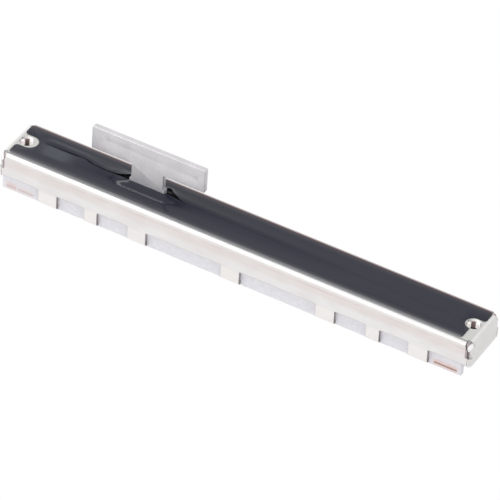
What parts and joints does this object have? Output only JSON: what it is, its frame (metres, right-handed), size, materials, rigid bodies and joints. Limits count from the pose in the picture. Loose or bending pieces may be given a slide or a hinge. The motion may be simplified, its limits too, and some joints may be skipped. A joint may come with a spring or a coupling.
{
  "type": "slide potentiometer",
  "caption": "Slim slide potentiometer: folded steel case with a dust film and threaded fixing holes, moulded base with solder pins, and a T-shaped sliding lever.",
  "frame": {"origin": "midway between the two threaded fixing holes, on the outer face of the case's top plate", "axes": "+X along the travel towards the end with one terminal, +Z out of the mounting face, so the lever points to +Z"},
  "size_m": [0.075, 0.0084, 0.0176],
  "materials": {
    "case_steel": "bright plated sheet",
    "film": "satin film",
    "lever_steel": "satin plated",
    "base_plastic": "moulded, slightly translucent",
    "board": "laminate",
    "carbon": "printed",
    "silver_ink": "printed",
    "terminal_copper": "cut edges bare, pins tinned",
    "rivet_brass": "bright",
    "carrier_plastic": "moulded",
    "spring_alloy": "spring strip",
    "bumper_rubber": "matt"
  },
  "bodies": {
    "housing": {"case": "case_steel", "dust_cover": "film", "base": "base_plastic", "element_board": "board", "resistive_track": "carbon", "collector_track": "carbon", "electrode_1": "silver_ink", "electrode_3": "silver_ink", "terminal_1": "terminal_copper", "terminal_2": "terminal_copper", "terminal_3": "terminal_copper", "rivet_1": "rivet_brass", "rivet_2": "rivet_brass", "rivet_3": "rivet_brass", "left_bumper": "bumper_rubber", "right_bumper": "bumper_rubber"},
    "slider": {"lever": "lever_steel", "carrier": "carrier_plastic", "wiper_brush": "spring_alloy", "guide_spring": "spring_alloy"}
  },
  "joints": [
    {"name": "lever_slide", "type": "slide", "parent": "housing", "child": "slider", "axis": [1, 0, 0], "range_m": [-0.0142, 0.0458]}
  ]
}
